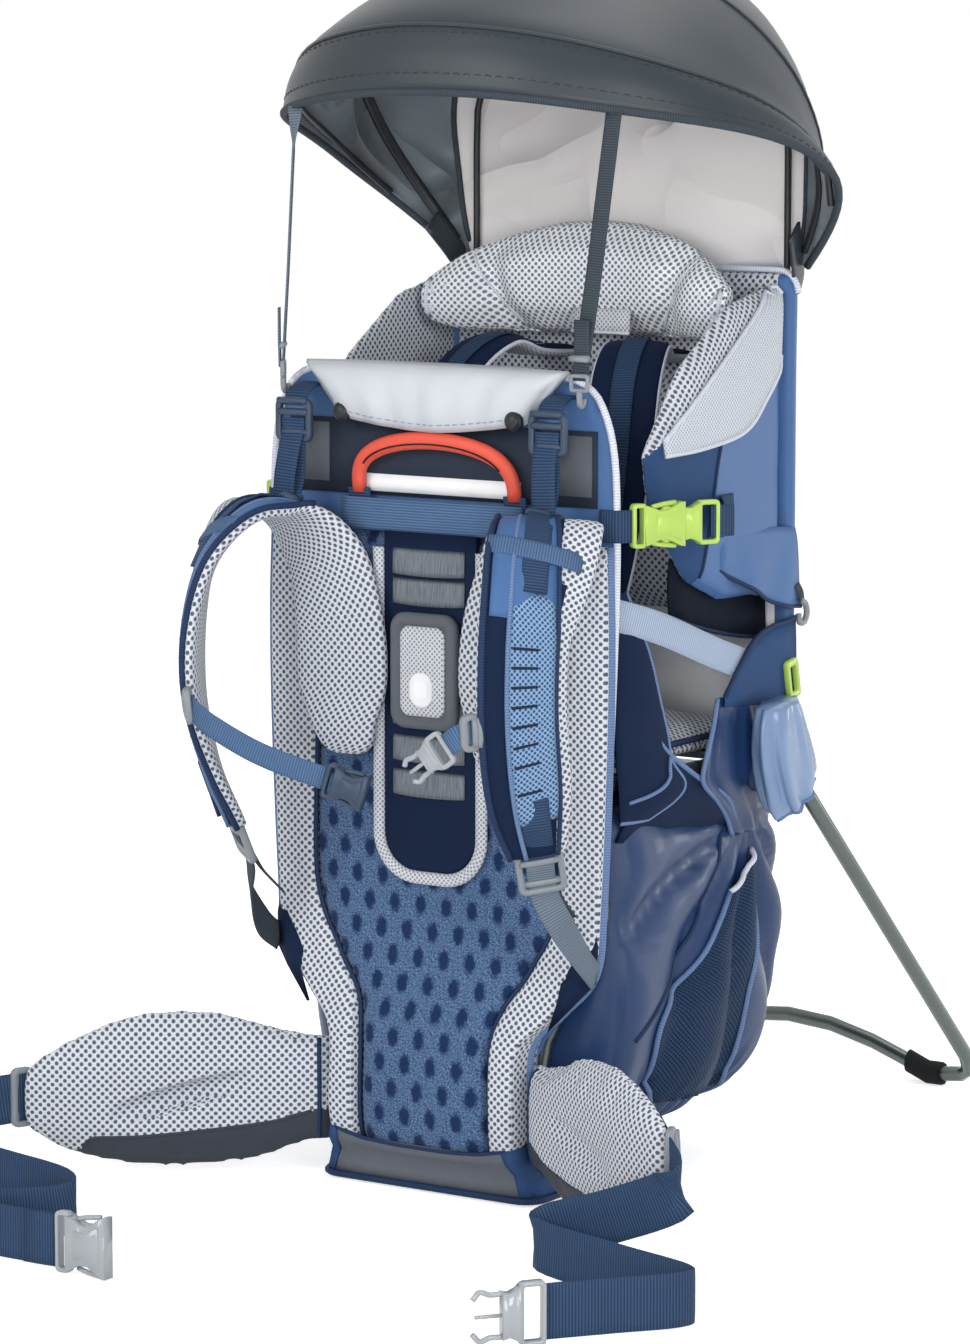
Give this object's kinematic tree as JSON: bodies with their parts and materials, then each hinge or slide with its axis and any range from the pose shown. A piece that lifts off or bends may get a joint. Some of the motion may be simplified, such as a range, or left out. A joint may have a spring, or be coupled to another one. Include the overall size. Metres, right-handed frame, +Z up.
{
  "type": "child carrier backpack",
  "caption": "Framed child carrier backpack with a padded harness, hip belt, child seat, tilting sunshade, storage bag and a folding stand.",
  "frame": {"origin": "on the floor under the back panel, on the flat underside of the base boot", "axes": "+Z up; -Y towards the wearer; +Y towards the child, the bag and the stand; +X to the right as seen from the wearer's side"},
  "size_m": [0.7271, 0.9412, 0.9683],
  "materials": {
    "tube": "dark anodised satin tube",
    "rubber": "matte black rubber",
    "plastic": "slate moulded plastic",
    "pale_plastic": "pale grey moulded plastic",
    "lime_plastic": "lime moulded plastic",
    "plate": "stiff sheet under dark cloth",
    "rod": "black fibreglass rod",
    "handle": "soft coral red handle",
    "mesh": "light grey spacer mesh",
    "blue_weave": "heathered blue weave",
    "blue_cloth": "mid blue plain cloth",
    "blue_nylon": "shiny blue nylon",
    "navy_mesh": "navy stretch mesh",
    "navy_webbing": "navy webbing",
    "grey_webbing": "blue-grey webbing",
    "slate_nylon": "slate satin nylon",
    "silver_cloth": "silver grey cloth",
    "base_cloth": "coated dark base cloth"
  },
  "bodies": {
    "pack": {"frame_tube": "tube", "seat_frame": "tube", "pivot_bracket_left": "plastic", "pivot_bracket_right": "plastic", "back_plate": "plate", "base_boot": "base_cloth", "centre_pad": "blue_weave", "back_pad_left": "mesh", "back_pad_right": "mesh", "adjuster_panel": "navy_webbing", "drool_pad": "silver_cloth", "side_wall_left": "blue_cloth", "side_wall_right": "blue_cloth", "rear_wall": "blue_cloth", "headrest": "mesh", "backrest_pad": "mesh", "child_strap_left": "navy_mesh", "child_strap_right": "navy_mesh", "storage_bag": "blue_nylon", "side_pocket_left": "navy_mesh", "side_pocket_right": "navy_mesh", "side_strap_left": "navy_webbing", "side_strap_right": "navy_webbing", "side_socket_left": "lime_plastic", "side_socket_right": "lime_plastic", "foot_strap_left": "grey_webbing", "foot_strap_right": "grey_webbing", "load_lock_left": "plastic", "load_lock_right": "plastic", "load_strap_left": "navy_webbing", "load_strap_right": "navy_webbing", "lower_strap_left": "navy_webbing", "lower_strap_right": "navy_webbing"},
    "kickstand": {"kickstand_tube": "tube", "kickstand_foot_left": "rubber", "kickstand_foot_right": "rubber"},
    "canopy": {"canopy_cover": "slate_nylon", "canopy_front_rod": "rod", "canopy_rear_rod": "rod"},
    "canopy_hold_left": {"canopy_strap_left": "slate_nylon"},
    "canopy_hold_right": {"canopy_strap_right": "slate_nylon"},
    "handle": {"carry_handle": "handle"},
    "hip_left": {"hip_fin_left": "mesh", "hip_belt_left": "navy_webbing", "hip_socket": "pale_plastic"},
    "hip_right": {"hip_fin_right": "mesh", "hip_belt_right": "navy_webbing", "hip_plug": "pale_plastic"},
    "harness": {"shoulder_strap_left": "mesh", "shoulder_strap_right": "mesh", "adjuster_grip": "mesh", "ladder_lock_left": "plastic", "ladder_lock_right": "plastic"},
    "sternum_left": {"sternum_strap_left": "navy_webbing", "sternum_socket": "plastic"},
    "sternum_right": {"sternum_strap_right": "navy_webbing", "sternum_plug": "pale_plastic"},
    "entry_plug_left": {"side_plug_left": "lime_plastic"},
    "entry_plug_right": {"side_plug_right": "lime_plastic"},
    "seat": {"seat_pad": "mesh"}
  },
  "joints": [
    {"name": "kickstand_fold", "type": "hinge", "parent": "pack", "child": "kickstand", "pos_m": [0, 0.215, 0.325], "axis": [-1, 0, 0], "range_deg": [0, 80]},
    {"name": "canopy_tilt", "type": "hinge", "parent": "pack", "child": "canopy", "pos_m": [0, 0.2869, 0.704], "axis": [-1, 0, 0], "range_deg": [0, 60]},
    {"name": "canopy_hold_left_swing", "type": "hinge", "parent": "canopy", "child": "canopy_hold_left", "pos_m": [-0.14641, 0.02611, 0.84253], "axis": [1, 0, 0], "range_deg": [0, 60]},
    {"name": "canopy_hold_right_swing", "type": "hinge", "parent": "canopy", "child": "canopy_hold_right", "pos_m": [0.14641, 0.02611, 0.84253], "axis": [1, 0, 0], "range_deg": [0, 60]},
    {"name": "handle_swing", "type": "hinge", "parent": "pack", "child": "handle", "pos_m": [0, 0.0049, 0.546], "axis": [1, 0, 0], "range_deg": [0, 40]},
    {"name": "hip_left_wrap", "type": "hinge", "parent": "pack", "child": "hip_left", "pos_m": [-0.1003, -0.003, 0], "axis": [0, 0, 1], "range_deg": [-25, 15]},
    {"name": "hip_right_wrap", "type": "hinge", "parent": "pack", "child": "hip_right", "pos_m": [0.1003, -0.003, 0], "axis": [0, 0, -1], "range_deg": [-25, 15]},
    {"name": "harness_height", "type": "slide", "parent": "pack", "child": "harness", "axis": [0, 0, 1], "range_m": [-0.03, 0.03], "deforming": ["load_strap_left", "load_strap_right", "lower_strap_left", "lower_strap_right"]},
    {"name": "sternum_left_height", "type": "slide", "parent": "harness", "child": "sternum_left", "axis": [-0.03, -0.095, 0.995], "range_m": [-0.02, 0.02]},
    {"name": "sternum_right_height", "type": "slide", "parent": "harness", "child": "sternum_right", "axis": [0.03, -0.095, 0.995], "range_m": [-0.02, 0.02]},
    {"name": "entry_plug_left_release", "type": "slide", "parent": "pack", "child": "entry_plug_left", "axis": [-0.4602, 0.8878, 0], "range_m": [0, 0.035]},
    {"name": "entry_plug_right_release", "type": "slide", "parent": "pack", "child": "entry_plug_right", "axis": [0.4602, 0.8878, 0], "range_m": [0, 0.035]},
    {"name": "seat_height", "type": "slide", "parent": "pack", "child": "seat", "axis": [0, 0, 1], "range_m": [0, 0.05]}
  ],
  "couplings": [
    {"joint": "canopy_hold_left_swing", "follows": "canopy_tilt", "ratio": 1},
    {"joint": "canopy_hold_right_swing", "follows": "canopy_tilt", "ratio": 1}
  ]
}
